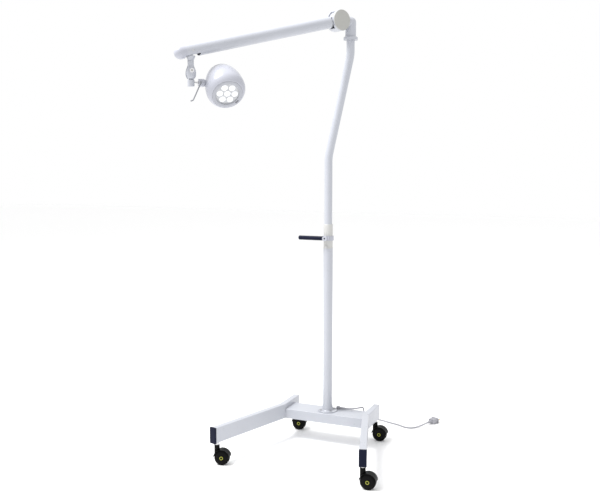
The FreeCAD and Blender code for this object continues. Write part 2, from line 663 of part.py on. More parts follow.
def make_handle():
    """Push handle: a ring around the clamp sleeve, a bar with a grip to the left and a brace behind it."""
    low = "handle_height - ring_height / 2"
    bar_z = "handle_height"
    ring = cylinder("ring_radius", "ring_height", ("0", "0", low))
    neck = block("2 * grip_start", "handle_front - 4", "ring_height - 4",
                 ("-grip_start", "-handle_front", f"{low} + 2"))
    boss = cylinder("grip_radius + 1.5", "14", ("-2.9", "-handle_front - 9", bar_z), ALONG_Y)
    core = cylinder("grip_core", "grip_length + 0.5", ("-grip_start + 6", "-handle_front", bar_z),
                    ALONG_MINUS_X)
    brace = doc.addObject("Part::Feature", "Brace")
    back = Vector(4 - size.sleeve_radius, -size.handle_front / 3, size.handle_height)
    far = Vector(10 - size.grip_start - size.grip_length, -size.handle_front, size.handle_height)
    corners = [back + Vector(0, 0, 7), far + Vector(0, 0, 3), far - Vector(0, 0, 3), back - Vector(0, 0, 7)]
    web = Part.Face(Part.makePolygon(corners + corners[:1])).extrude(Vector(0, 2.5, 0))
    grip_end = Vector(0.3 - size.grip_start, -size.handle_front, size.handle_height)
    brace.Shape = web.cut(Part.makeCylinder(size.grip_radius + 0.3, size.grip_length + 20, grip_end,
                                            Vector(-1, 0, 0)))
    bore = cylinder("sleeve_radius + fit_gap", "ring_height + 2", ("0", "0", f"{low} - 1"))
    pit = cylinder("3.4", "6", ("-2.9", "-handle_front - 9.5", bar_z), ALONG_Y)
    subpart(cut(cut(fused([ring, neck, boss, core, brace]), bore), pit), "handle_bracket")

    start = Vector(-size.grip_start, -size.handle_front, size.handle_height)
    turned("handle_grip", [
        ("grip_core + fit_gap", "0"), ("grip_radius - 1", "0"), ("grip_radius", "1.5"),
        ("grip_radius", "grip_length - 16"), ("grip_radius - 1.2", "grip_length - 14.5"),
        ("grip_radius", "grip_length - 13"), ("grip_radius", "grip_length - 3"),
        ("grip_radius - 3", "grip_length"), ("0", "grip_length"), ("0", "grip_length - 5"),
        ("grip_core + fit_gap", "grip_length - 5")], Placement(start, ALONG_MINUS_X))


# ----------------------------------------------------------------------------- elbow and hinge drum
def make_elbow():
    """Elbow casting: collar and barrel over the mast's spindle, and the slotted drum that carries the arm."""
    drum = ("hinge_reach", "-drum_half", "0")
    barrel_low = "collar_bottom - hinge_height"
    barrel = cylinder("elbow_radius", f"-({barrel_low})", ("0", "0", barrel_low))
    collar = cylinder("collar_radius", "collar_top - collar_bottom - 6", ("0", "0", barrel_low))
    shoulder = primitive("Part::Cone", None, ("0", "0", "collar_top - hinge_height - 6"),
                         Radius1="collar_radius", Radius2="elbow_radius", Height="6")
    corner = primitive("Part::Sphere", None, Radius="elbow_radius")
    branch = cylinder("elbow_radius", "hinge_reach - drum_inner", rotation=ALONG_X)
    shell = cylinder("drum_radius", "2 * drum_half", drum, ALONG_Y)
    rounded = doc.addObject("Part::Fillet", "DrumRound")
    doc.recompute()
    rounded.Base = shell
    rounded.Edges = [(i, 2.0, 2.0) for i, edge in enumerate(shell.Shape.Edges, start=1) if is_circle(edge)]
    solid = fused([barrel, collar, shoulder, corner, branch, rounded])

    cavity = cylinder("drum_inner", "2 * cheek_inner", ("hinge_reach", "-cheek_inner", "0"), ALONG_Y)
    # the slot lets the arm's tongue and the parallel rod swing from the lowest to the highest arm position
    slot = doc.addObject("Part::Cylinder", "Slot")
    bind(slot, "Radius", "drum_radius + 10")
    bind(slot, "Height", "2 * (cheek_inner - 2)")
    bind(slot, "Angle", "slot_low + slot_high")
    slot.Placement = Placement(Vector(size.hinge_reach, size.cheek_inner - 2, 0),
                               Rotation(Vector(0, 1, 0), size.slot_low) * ALONG_MINUS_Y)
    spindle_bore = cylinder("spindle_radius + fit_gap", "spindle_top - collar_bottom + 2",
                            ("0", "0", f"{barrel_low} - 1"))
    socket = cylinder("upper_radius + 0.4", "socket_top - collar_bottom + 1", ("0", "0", f"{barrel_low} - 1"))
    pin_bore = cylinder("hinge_pin_radius + fit_gap", "2 * drum_half + 2",
                        ("hinge_reach", "-drum_half - 1", "0"), ALONG_Y)
    hollow = cut(solid, fused([cavity, slot, spindle_bore, socket, pin_bore]))
    post = cylinder("rod_pin", "cheek_inner - rod_side + 4",
                    ("hinge_reach", "rod_side - 3", "rod_rise"), ALONG_Y)
    subpart(fused([hollow, post]), "elbow_drum", swivel_frame)

    subpart(cylinder("hinge_pin_radius", "2 * drum_half - 1"), "arm_hinge_pin",
            moved(hinge_frame, Vector(0, 0.5 - size.drum_half, 0), ALONG_Y))

    disc = Part.makeCylinder(size.drum_radius - 1, size.cover_thick)
    top = [edge for edge in disc.Edges if edge.CenterOfMass.z > size.cover_thick - 0.01]
    disc = disc.makeFillet(1.2, top)
    near = disc.copy()
    near.Placement = Placement(Vector(0, size.drum_half + 0.05, 0), ALONG_Y)
    far = disc.copy()
    far.Placement = Placement(Vector(0, -size.drum_half - 0.05, 0), ALONG_MINUS_Y)
    computed("drum_covers", group([near, far]), hinge_frame)

    inside = "upper_radius - upper_wall - fit_gap"
    turned("swivel_spindle", [("0", "spindle_bottom"), (inside, "spindle_bottom"), (inside, "upper_top"),
                              ("spindle_radius", "upper_top"), ("spindle_radius", "spindle_top - 2"),
                              ("spindle_radius - 2", "spindle_top"), ("0", "spindle_top")],
           Placement(Vector(size.crank_offset, 0, 0), Rotation()))


# ----------------------------------------------------------------------------- arm
def make_arm():
    """Arm tube with its open slot under the tip, in the arm frame: X along the arm, Y along the hinge."""
    tube_length = "arm_length + arm_end - arm_start"
    tube = cylinder("arm_radius", tube_length, ("arm_start", "0", "0"), ALONG_X)
    bore = cylinder("arm_radius - arm_wall", f"{tube_length} + 2", ("arm_start - 1", "0", "0"), ALONG_X)
    slot = block("slot_back + arm_end + 1", "2 * slot_half", "arm_radius",
                 ("arm_length - slot_back", "-slot_half", "-arm_radius - slot_half / 2"))
    pin_bore = cylinder("tip_pin_radius + fit_gap", "2 * arm_radius + 2",
                        ("arm_length", "-arm_radius - 1", "0"), ALONG_Y)
    subpart(cut(cut(tube, bore), fused([slot, pin_bore])), "arm_tube", arm_frame)

    # root: tongue around the hinge pin, plug in the tube and the guide rod of the spring
    plug_start = "arm_start + 2"
    eye = cylinder("tongue_half + 2", "tongue_thick", ("0", "-tongue_thick", "0"), ALONG_Y)
    bar = block("spring_start - 2", "tongue_thick", "2 * tongue_half", ("0", "-tongue_thick", "-tongue_half"))
    plug = cylinder("arm_radius - arm_wall - fit_gap", "14", (plug_start, "0", "0"), ALONG_X)
    window = block("16", "rod_side + 4", "arm_radius", (f"{plug_start} - 1", "2", "4"))
    guide = cylinder("spring_radius - spring_wire - 1", "spring_length + 6",
                     ("spring_start - 4", "spring_side", "-spring_fall"), ALONG_X)
    seat = cylinder("spring_radius + 2", "3",
                    ("spring_start + spring_length + 1", "spring_side", "-spring_fall"), ALONG_X)
    root_bore = cylinder("hinge_pin_radius + fit_gap", "tongue_thick + 2",
                         ("0", "-tongue_thick - 1", "0"), ALONG_Y)
    # a curved shield above the tongue closes the drum's slot as the arm swings
    shield = sector("shield_radius", "2 * shield_half", "-shield_half")
    within = cylinder("shield_radius - 1.6", "2 * shield_half + 2", ("0", "-shield_half - 1", "0"), ALONG_Y)
    rib = sector("shield_radius - 1", "5", "-tongue_thick")
    subpart(cut(fused([eye, bar, cut(plug, window), guide, seat, cut(shield, within), rib]), root_bore),
            "arm_root", arm_frame)

    # balance spring around its guide rod
    helix = Part.makeHelix(size.spring_pitch, size.spring_pitch * size.spring_turns, size.spring_radius)
    start = Vector(size.spring_radius, 0, 0)
    section = Part.Wire(Part.makeCircle(size.spring_wire, start, Vector(0, 1, 0)))
    wire = Part.Wire(helix).makePipeShell([section], True, True)
    wire.Placement = Placement(Vector(size.spring_start + 1.5, size.spring_side, -size.spring_fall), ALONG_X)
    computed("balance_spring", wire, arm_frame)

    # tip cap: plug, short barrel and dome, notched in line with the slot
    radius = size.arm_radius
    length = size.tip_length - size.arm_end
    dome = Part.makeSphere(radius, Vector(length - radius, 0, 0))
    barrel = Part.makeCylinder(radius, length - radius, Vector(), Vector(1, 0, 0))
    plug = Part.makeCylinder(radius - size.arm_wall - size.fit_gap, 6, Vector(-5, 0, 0), Vector(1, 0, 0))
    notch = Part.makeBox(size.tip_notch + 10, 2 * size.slot_half, radius + 10,
                         Vector(-10, -size.slot_half, -radius - 10))
    cap = barrel.fuse([dome, plug]).removeSplitter().cut(notch)
    cap.Placement = Placement(Vector(size.arm_length + size.arm_end, 0, 0), Rotation())
    computed("tip_cap", cap, arm_frame)

    subpart(cylinder("tip_pin_radius", "2 * arm_radius - 1"), "tip_pin",
            moved(arm_frame, Vector(size.arm_length, 0.5 - size.arm_radius, 0), ALONG_Y))


def sector(radius, width, start):
    """A slice about the hinge axis, from start along Y, over the angles that the drum's shield spans."""
    slice_ = doc.addObject("Part::Cylinder", "Sector")
    bind(slice_, "Radius", radius)
    bind(slice_, "Height", width)
    bind(slice_, "Angle", "shield_high - shield_low")
    slice_.Placement = Placement(Vector(), Rotation(Vector(0, 1, 0), -size.shield_low) * ALONG_MINUS_Y)
    bind(slice_, "Placement.Base.y", f"({start}) + ({width})")
    return slice_


def make_parallel_rod():
    """Rod from the post in the drum to the post on the tip hub, parallel to the arm."""
    frame = Placement(hinge_frame.multVec(Vector(0, 0, size.rod_rise)), arm_frame.Rotation)
    eye_low = "rod_side - rod_radius - 0.4"
    root_eye = cylinder("rod_eye", "2 * rod_radius + 0.8", ("0", eye_low, "0"), ALONG_Y)
    tip_eye = cylinder("rod_eye", "2 * rod_radius + 0.8", ("arm_length", eye_low, "0"), ALONG_Y)
    shank = cylinder("rod_radius", "arm_length", ("0", "rod_side", "0"), ALONG_X)
    root_bore = cylinder("rod_pin + fit_gap", "4 * rod_radius",
                         ("0", "rod_side - 2 * rod_radius", "0"), ALONG_Y)
    tip_bore = cylinder("rod_pin + rod_clearance", "4 * rod_radius",
                        ("arm_length", "rod_side - 2 * rod_radius", "0"), ALONG_Y)
    subpart(cut(cut(fused([root_eye, tip_eye, shank]), root_bore), tip_bore), "parallel_rod", frame)


# ----------------------------------------------------------------------------- tip hub, drop link and knuckle
def make_tip_hub():
    """Hub that hangs upright from the tip pin: eye block, post for the parallel rod, bowl and swivel bore."""
    lower = block("14", "rod_side + 8", "26", ("-7", "-12", "-18"))
    upper = block("14", "9", "rod_rise + rod_eye", ("-7", "-6", "0"))
    bowl = primitive("Part::Cone", None, ("0", "0", "-31"),
                     Radius1="neck_radius", Radius2="hub_rim", Height="11")
    rim = cylinder("hub_rim", "3", ("0", "0", "-20"))
    neck = cylinder("neck_radius", "hub_bottom - 31", ("0", "0", "-hub_bottom"))
    post = cylinder("rod_pin", "rod_side", ("0", "3 - 0.5", "rod_rise"), ALONG_Y)
    pin_bore = cylinder("tip_pin_radius + fit_gap", "40", ("0", "-20", "0"), ALONG_Y)
    swivel_bore = cylinder("link_spindle + fit_gap", "hub_bottom - 11", ("0", "0", "-hub_bottom - 1"))
    solid = fused([lower, upper, bowl, rim, neck, post])
    subpart(cut(solid, fused([pin_bore, swivel_bore])), "tip_hub", tip_frame)


def bulged(outline, low, high):
    """A solid of revolution about Z with a smooth side through (radius, height) points."""
    curve = Part.BSplineCurve()
    curve.interpolate([Vector(radius, 0, height) for radius, height in outline])
    bottom, top = outline[0], outline[-1]
    ends = Part.makePolygon([Vector(top[0], 0, top[1]), Vector(0, 0, high), Vector(0, 0, low),
                             Vector(bottom[0], 0, bottom[1])])
    return Part.Face(Part.Wire([curve.toShape()] + ends.Edges)).revolve(Vector(), Vector(0, 0, 1), 360)


def make_link():
    """Drop link: spindle in the hub, neck and two bulged cheeks around the knuckle bolt."""
    split = size.hub_bottom + 0.5
    bolt = size.knuckle_drop
    side = [(8.5, -bolt - 28.6), (14.5, -bolt - 24.5), (18.0, -bolt - 12), (17.2, -bolt), (13.4, -bolt + 11),
            (size.neck_radius, -bolt + 19)]
    neck = Part.makeCylinder(size.neck_radius, bolt - 19 - split, Vector(0, 0, -bolt + 19))
    spindle = Part.makeCylinder(size.link_spindle, split - 13, Vector(0, 0, -split))
    body = bulged(side, -bolt - 29.8, -bolt + 19).fuse([neck, spindle]).removeSplitter()
    gap = 2 * size.tongue_gap
    slot = Part.makeBox(60, gap, 46, Vector(-30, -gap / 2, -bolt - 32))
    bore = Part.makeCylinder(size.bolt_radius + size.fit_gap, 60, Vector(0, -30, -bolt), Vector(0, 1, 0))
    # spot face under the head of the bolt
    seat = Part.makeCylinder(size.bolt_head + 0.3, 20, Vector(0, -36, -bolt), Vector(0, 1, 0))
    computed("drop_link", body.cut([slot, bore, seat]), link_frame)

    head = Part.makeCylinder(size.bolt_head, 3.5, Vector(0, -size.bolt_half, 0), Vector(0, 1, 0))
    rim = [edge for edge in head.Edges if abs(edge.CenterOfMass.y + size.bolt_half) < 0.01]
    head = head.makeFillet(1.2, rim)
    shank_start = Vector(0, 2 - size.bolt_half, 0)
    shank = Part.makeCylinder(size.bolt_radius, 2 * size.bolt_half - 4, shank_start, Vector(0, 1, 0))
    computed("knuckle_bolt", head.fuse(shank).removeSplitter(), knuckle_frame)


def make_knuckle():
    """Knuckle block: tongue between the cheeks and a short barrel that holds the head pin."""
    pin_depth = "head_pin_drop - knuckle_drop"
    eye = cylinder("12", "2 * tongue_gap - 0.6", ("0", "-tongue_gap + 0.3", "0"), ALONG_Y)
    tongue = block("18", "2 * tongue_gap - 0.6", "32", ("-9", "-tongue_gap + 0.3", "-32"))
    barrel = cylinder("12", "link_end - knuckle_drop - 30.8 - 2",
                      ("0", "0", "-(link_end - knuckle_drop - 2)"))
    foot = primitive("Part::Cone", None, ("0", "0", "-(link_end - knuckle_drop)"),
                     Radius1="10", Radius2="12", Height="2")
    bore = cylinder("bolt_radius + fit_gap", "20", ("0", "-10", "0"), ALONG_Y)
    pin_bore = cylinder("head_pin_radius + fit_gap", "24", ("-9", "0", f"-({pin_depth})"), ALONG_X)
    subpart(cut(fused([eye, tongue, barrel, foot]), fused([bore, pin_bore])), "knuckle_block", knuckle_frame)

    subpart(cylinder("head_pin_radius", "53"), "head_pin", moved(head_pin_frame, Vector(-8.5, 0, 0), ALONG_X))


# ----------------------------------------------------------------------------- lamp head
def egg(radius, rear, rim):
    """Solid of revolution about Z: half an ellipse behind the widest plane, a tangent arc before it."""
    front = size.shell_front
    ellipse = Part.Ellipse(Vector(0, 0, rear), Vector(radius, 0, 0), Vector())
    back = Part.ArcOfEllipse(ellipse, 0, math.pi / 2).toShape()
    fall = radius - rim
    bend = (front ** 2 + fall ** 2) / (2 * fall)
    middle = Vector(radius - bend + math.sqrt(bend ** 2 - front ** 2 / 4), 0, -front / 2)
    nose = Part.Arc(Vector(radius, 0, 0), middle, Vector(rim, 0, -front)).toShape()
    ends = Part.makePolygon([Vector(rim, 0, -front), Vector(0, 0, -front), Vector(0, 0, rear)])
    return Part.Face(Part.Wire([back, nose] + ends.Edges)).revolve(Vector(), Vector(0, 0, 1), 360)


def make_head_shell():
    """Egg-shaped shell, open at the front, with a ledge for the bezel and a guide for the rear button."""
    wall = size.shell_wall
    outer = egg(size.shell_radius, size.shell_rear, size.shell_rim)
    inner = egg(size.shell_radius - wall, size.shell_rear - wall, size.shell_rim - wall)
    mouth = Part.makeCylinder(size.shell_rim - wall, 6, Vector(0, 0, -size.shell_front - 2))
    ledge_low = Vector(0, 0, 4 - size.shell_front)
    ledge = Part.makeCylinder(size.shell_radius, 2.5, ledge_low).common(outer)
    ledge = ledge.cut(Part.makeCylinder(size.bezel_cup + 0.4, 2.5, ledge_low))
    stem_hole = Part.makeCylinder(size.stem_neck + size.fit_gap, 40, Vector(-80, 0, size.head_forward),
                                  Vector(1, 0, 0))
    guide = Part.makeCylinder(size.button_radius + 3, 16, Vector(0, 0, size.shell_rear - 17))
    guide_bore = Part.makeCylinder(size.button_radius + 0.15, 40, Vector(0, 0, size.shell_rear - 18))
    shell = outer.cut([inner, mouth]).fuse([ledge, guide.common(outer)]).cut([stem_hole, guide_bore])
    computed("head_shell", shell.removeSplitter(), head_frame)

    turned("switch_button", [("0", "shell_rear - 11"), ("button_radius", "shell_rear - 11"),
                             ("button_radius", "shell_rear + 2"), ("button_radius - 1", "shell_rear + 3"),
                             ("0", "shell_rear + 3")], head_frame)


def make_light():
    """Bezel cup, lens plate, seven lenses, LED board and finned heat sink, all about the beam axis."""
    front = "-shell_front"
    turned("bezel_ring", [
        ("bezel_inner", f"{front} - 0.5"), ("bezel_inner + 2", f"{front} - 2"),
        ("bezel_outer - 3", f"{front} - 2"), ("bezel_outer", f"{front} - 0.5"),
        ("bezel_outer", f"{front} + 3.7"), ("bezel_cup", f"{front} + 3.7"), ("bezel_cup", f"{front} + 30"),
        ("bezel_cup - 2", f"{front} + 30"), ("bezel_cup - 2", f"{front} + 2"),
        ("bezel_inner", f"{front} + 2")], head_frame)

    rim = "bezel_cup - 2.3"
    lens_front = f"{front} + 2.5"
    lens_back = f"{lens_front} + 2.5"
    face = turned("lens_plate", [("0", lens_front), (rim, lens_front), (rim, lens_back), ("0", lens_back)],
                  head_frame)
    holes = new_sketch(face, "XY_Plane", f"{lens_front} - 1")
    for x, y in lens_places():
        circle(holes, (x, y), "lens_radius + 0.2")
    pocket(face, holes, "5", backwards=True)

    lens = lens_profile(size.lens_radius)
    level = Vector(0, 0, 2.5 - size.shell_front)
    places = [level]
    for i in range(6):
        places.append(turn_about_z(60 * i).multVec(Vector(size.lens_circle, 0, 0)) + level)
    computed("led_lenses", group([lens.translated(place) for place in places]), head_frame)

    board_low = f"{front} + 20.5"
    board_top = f"{board_low} + 1.6"
    board = turned("led_board", [("0", board_low), (rim, board_low), (rim, board_top), ("0", board_top)],
                   head_frame)
    holes = new_sketch(board, "XY_Plane", f"{board_low} - 1")
    circle(holes, ("0", "-bezel_cup + 6"), "2")
    circle(holes, ("0", "bezel_cup - 6"), "2")
    pocket(board, holes, "4", backwards=True)

    # heat sink: a disc with straight fins behind the LED board
    sink = new_body("heat_sink", head_frame)
    low = f"{board_low} + 1.7"
    pad(sink, circle(new_sketch(sink, "XY_Plane", low), ("0", "0"), rim), "26")
    gaps = new_sketch(sink, "XY_Plane", f"{low} + 5")
    for i in range(5):
        for side in (1, -1):
            near = f"{side} * (3 + {i} * 8)"
            far = f"{side} * (3 + {i} * 8 + 5)"
            ends = ("-bezel_cup - 5", "bezel_cup + 5")
            polygon(gaps, [(near, ends[0]), (far, ends[0]), (far, ends[1]), (near, ends[1])])
    pocket(sink, gaps, "22", backwards=True)


def lens_places():
    """Centres of the seven lenses as expressions: one in the middle and six around it."""
    ring = [(f"lens_circle * cos({60 * i})", f"lens_circle * sin({60 * i})") for i in range(6)]
    return [("0", "0")] + ring


def lens_profile(radius):
    """One collimator lens about Z: shallow dome in front (-Z), paraboloid flank, flat rear."""
    pole, rim, shoulder = Vector(0, 0, -1.6), Vector(radius, 0, 0.6), Vector(radius, 0, 2.6)
    heel, rear = Vector(radius * 0.4, 0, 16), Vector(0, 0, 16)
    dome = Part.Arc(pole, Vector(radius * 0.62, 0, -1.0), rim).toShape()
    flank = Part.Arc(shoulder, Vector(radius * 0.78, 0, 10), heel).toShape()
    sides = [Part.LineSegment(a, b).toShape() for a, b in ((rim, shoulder), (heel, rear), (rear, pole))]
    outline = Part.Wire([dome, sides[0], flank, sides[1], sides[2]])
    return Part.Face(outline).revolve(Vector(), Vector(0, 0, 1), 360)


def make_stem_and_rod():
    """Stem between the head pin and the shell, and the bent rod by which the head is aimed."""
    start = 26
    shell_side = 46.8
    thick = Part.makeCylinder(size.stem_body, shell_side - start, Vector(start, 0, 0), Vector(1, 0, 0))
    rim = [edge for edge in thick.Edges if is_circle(edge)]
    thick = thick.makeFillet(2, rim)
    neck = Part.makeCylinder(size.stem_neck, 12, Vector(shell_side - 2, 0, 0), Vector(1, 0, 0))
    bore = Part.makeCylinder(size.head_pin_radius + size.fit_gap, 20.5, Vector(start - 1, 0, 0),
                             Vector(1, 0, 0))
    seat = Vector(31.5, -9, 2.5)
    rod_bore = Part.makeCylinder(size.rod_grip + size.fit_gap, 30, seat, Vector(0, -1, 0))
    computed("head_stem", thick.fuse(neck).removeSplitter().cut([bore, rod_bore]), head_pin_frame)

    route = [seat + Vector(0, -0.2, 0), seat + Vector(0, -11, 0), Vector(0, -30, -61), Vector(-9, -32, -65)]
    computed("aiming_rod", swept(rounded_path(route, 4), size.rod_grip), head_pin_frame)


# ----------------------------------------------------------------------------- mains lead
# the route by hand: from the gland over the rear edge of the beam, down to the floor and to the coil
LEAD_ROUTE = [(66, 35, 132.6), (93, 36, 133.4), (118, 52, 136), (127, 80, 133), (123, 106, 112),
              (112, 136, 84), (97, 164, 56), (74, 186, 28), (42, 200, 8), (8, 211, 3.3),
              (-20, 231, 3.3), (-37, 262, 4.6)]
# the route from the coil along the floor to the plug
RUN_ROUTE = [(17, 333.5, 12), (48, 331, 8), (92, 334, 3.4), (138, 323, 3.1), (186, 303, 3.1),
             (222, 292, 3.1), (252, 272, 3.1), (284, 272, 3.1), (307, 297, 4.5), (324, 323, 9),
             (336, 348, 11)]


def make_cord():
    """Gland, lead, coil with its tie, and the plug."""
    top = "leg_floor + beam_height"
    base = cylinder("8", "4", ("34", "35", top))
    dome = cylinder("7.5", "11", ("34", "35", top))
    nozzle = primitive("Part::Cone", ALONG_X, ("34", "35", f"{top} + 5.6"),
                       Radius1="5.4", Radius2="cord_radius + 0.9", Height="32")
    subpart(fused([base, dome, nozzle]), "cable_gland")

    lead = rounded_path([Vector(*point) for point in LEAD_ROUTE])
    run = rounded_path([Vector(*point) for point in RUN_ROUTE])
    computed("cord_lead", swept(lead, size.cord_radius))
    computed("cord_run", swept(run, size.cord_radius))
    print(f"lead {lead.Length:.0f} mm, run {run.Length:.0f} mm")

    low = 1.4
    outer = Part.makeCylinder(size.coil_ring + size.coil_half, size.coil_height, Vector(0, 0, low))
    inner = Part.makeCylinder(size.coil_ring - size.coil_half, size.coil_height, Vector(0, 0, low))
    ring = outer.cut(inner)
    ring = ring.makeFillet(size.cord_radius, [edge for edge in ring.Edges if is_circle(edge)])
    place = Placement(Vector(size.coil_x, size.coil_y, 0), Rotation())
    computed("cord_coil", ring, place)

    # hook-and-loop strap around the bundle, on the side that faces the lamp
    def loop_block(length, gap, rounding):
        """A block across the bundle, gap larger than the bundle on each side."""
        near = -size.coil_ring - size.coil_half - gap
        block_shape = Part.makeBox(length, 2 * (size.coil_half + gap), size.coil_height + 2 * gap,
                                   Vector(-length / 2, near, low - gap))
        return block_shape.makeFillet(rounding, [edge for edge in block_shape.Edges if runs_along_x(edge)])

    computed("coil_tie", loop_block(9, 1.2, 3.5).cut(loop_block(11, 0.3, 3)), place)

    # the plug lies on the floor with two round pins
    end = Vector(*RUN_ROUTE[-1])
    way = end - Vector(*RUN_ROUTE[-2])
    plug_frame = Placement(end, Rotation(Vector(0, 0, 1), math.degrees(math.atan2(way.y, way.x))))
    relief = Part.makeCone(size.cord_radius + 0.8, 6.2, 24, Vector(), Vector(1, 0, 0))
    body = Part.makeBox(26, 30, 20, Vector(24, -15, -9.5))
    body = body.makeFillet(5, [edge for edge in body.Edges if runs_along_x(edge)])
    flange = Part.makeBox(5, 38, 22, Vector(49, -19, -10.5))
    flange = flange.makeFillet(4, [edge for edge in flange.Edges if runs_along_x(edge)])
    sockets = [Part.makeCylinder(2.46, 8, Vector(46.5, side * 9.5, 0), Vector(1, 0, 0)) for side in (1, -1)]
    computed("plug_body", relief.fuse([body, flange]).removeSplitter().cut(sockets), plug_frame)
    pins = []
    for side in (1, -1):
        pin = Part.makeCylinder(2.4, 26, Vector(47, side * 9.5, 0), Vector(1, 0, 0))
        tip = [edge for edge in pin.Edges if edge.CenterOfMass.x > 72.9]
        pins.append(pin.makeFillet(1, tip))
    computed("plug_pins", group(pins), plug_frame)


# ----------------------------------------------------------------------------- build
make_leg("left", -1)
make_leg("right", 1)
make_beam()
make_end_caps()
make_stems()
for caster, spot in stem_places().items():
    make_caster(caster, spot)
make_mast()
make_upper_mast()
make_handle()
make_elbow()
make_arm()
make_parallel_rod()
make_tip_hub()
make_link()
make_knuckle()
make_head_shell()
make_light()
make_stem_and_rod()
make_cord()
doc.recompute()

failed = [thing.Name for thing in doc.Objects if "Invalid" in thing.State or "Error" in thing.State]
if failed:
    raise ValueError(f"failed objects: {failed}")
for thing in subparts:
    shape = thing.Shape
    if shape.isNull() or not shape.isValid():
        raise ValueError(f"{thing.Label} is not a valid shape")

os.makedirs("parts", exist_ok=True)
for thing in subparts:
    thing.Shape.exportStep(f"parts/{thing.Label}.step")
print(f"{len(subparts)} sub-parts written")
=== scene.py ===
"""Looks of a mobile examination lamp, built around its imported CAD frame. Metres, +Z up, -Y the front."""

import json
import math

import bmesh
import bpy
from mathutils import Matrix, Vector


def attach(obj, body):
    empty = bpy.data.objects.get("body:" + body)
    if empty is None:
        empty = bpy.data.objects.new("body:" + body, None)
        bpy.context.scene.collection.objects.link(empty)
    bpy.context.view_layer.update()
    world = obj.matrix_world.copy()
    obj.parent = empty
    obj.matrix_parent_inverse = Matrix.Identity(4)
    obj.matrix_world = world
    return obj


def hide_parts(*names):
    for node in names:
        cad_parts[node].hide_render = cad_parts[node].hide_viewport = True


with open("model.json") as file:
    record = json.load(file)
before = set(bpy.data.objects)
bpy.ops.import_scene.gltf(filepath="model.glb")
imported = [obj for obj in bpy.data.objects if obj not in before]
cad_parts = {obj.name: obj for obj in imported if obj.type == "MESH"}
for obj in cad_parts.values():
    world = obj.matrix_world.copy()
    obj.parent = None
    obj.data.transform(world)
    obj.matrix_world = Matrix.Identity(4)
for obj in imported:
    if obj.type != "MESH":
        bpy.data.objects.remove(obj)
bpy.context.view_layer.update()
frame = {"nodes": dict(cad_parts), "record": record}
nodes = frame["nodes"]
scene = bpy.context.scene

MM = 0.001
CASTERS = ("front_left", "front_right", "rear_left", "rear_right")
WHEELS = ("inner", "outer")
# millimetres from the axle's middle to the bottom of a wheel's hub recess
WHEEL_FACE = 15.6
# face of the knuckle bolt's head from its joint
BOLT_FACE = 19.5
# axis of the head from its pin, and the bezel's front face in front of the pin
HEAD_REACH = 115
BEZEL_FACE = 65.5
# pad on the bezel: inner and outer radius, height, and in degrees where it starts and how long a step is
MARK_INNER = 44
MARK_OUTER = 50
MARK_HEIGHT = 0.8
MARK_START = 28
MARK_STEPS = 8
MARK_STEP = 2
# rounded edges of the small parts, the sharpest fold still shaded smooth, and the depth of relief in m
EDGE_WIDTH = 0.25
SMOOTH_UP_TO = 50
RELIEF_DEPTH = 0.0004
# half the floor's side, in m
FLOOR_HALF = 14
# the camera looks down by this much and turns to the left, in radians
CAMERA_DOWN = 0.111
CAMERA_TURN = 0.403
# bottom of the hole in the handle boss
HANDLE_BOSS = (-2.9, -30.5, 842)


# ----------------------------------------------------------------------------- camera and studio
def make_camera():
    """Looks a little down on the lamp, with the base's right-hand side turned away."""
    camera = bpy.data.objects.new("camera", bpy.data.cameras.new("camera"))
    scene.collection.objects.link(camera)
    camera.data.sensor_width = 36
    camera.data.lens = 48
    camera.data.clip_end = 50
    camera.location = (1.155, -2.999, 1.151)
    camera.rotation_euler = (math.pi / 2 - CAMERA_DOWN, 0, CAMERA_TURN)
    scene.camera = camera


def area_light(name, place, target, size, power):
    light = bpy.data.objects.new(name, bpy.data.lights.new(name, "AREA"))
    scene.collection.objects.link(light)
    light.data.shape = "RECTANGLE"
    light.data.size, light.data.size_y = size
    light.data.energy = power
    light.location = place
    light.rotation_euler = (Vector(target) - Vector(place)).to_track_quat("-Z", "Y").to_euler()


def make_studio():
    """White floor and sky, and one large soft light above, in front on the left."""
    world = bpy.data.worlds.new("studio")
    scene.world = world
    world.use_nodes = True
    background = world.node_tree.nodes["Background"]
    background.inputs["Color"].default_value = (1, 1, 1, 1)
    background.inputs["Strength"].default_value = 1.0
    scene.view_settings.view_transform = "Standard"
    area_light("key", (-1.5, -1.2, 3.9), (0, 0, 0.9), (1.5, 1.5), 150)

    mesh = bpy.data.meshes.new("floor")
    corners = [(x * FLOOR_HALF, y * FLOOR_HALF, 0) for x, y in ((-1, -1), (1, -1), (1, 1), (-1, 1))]
    mesh.from_pydata(corners, [], [(0, 1, 2, 3)])
    floor = bpy.data.objects.new("floor", mesh)
    scene.collection.objects.link(floor)
    floor.data.materials.append(studio_floor())


# ----------------------------------------------------------------------------- materials
def blank(name):
    """A node material with its principled shader and a helper that adds linked nodes."""
    material = bpy.data.materials.new(name)
    material.use_nodes = True
    tree = material.node_tree
    shader = tree.nodes["Principled BSDF"]

    def add(kind, inputs=None, **settings):
        node = tree.nodes.new(kind)
        for key, value in settings.items():
            setattr(node, key, value)
        for key, value in (inputs or {}).items():
            if isinstance(value, bpy.types.NodeSocket):
                tree.links.new(value, node.inputs[key])
            else:
                node.inputs[key].default_value = value
        return node
    return material, tree, shader, add


def noise(add, place, scale, detail=3.0, rough=0.5):
    inputs = {"Vector": place, "Scale": scale, "Detail": detail, "Roughness": rough}
    return add("ShaderNodeTexNoise", inputs).outputs["Fac"]


def spread(add, value, low, high):
    """Maps a noise value in its usual middle range to low..high."""
    return add("ShaderNodeMapRange", {"Value": value, "From Min": 0.3, "From Max": 0.7,
                                      "To Min": low, "To Max": high}).outputs["Result"]


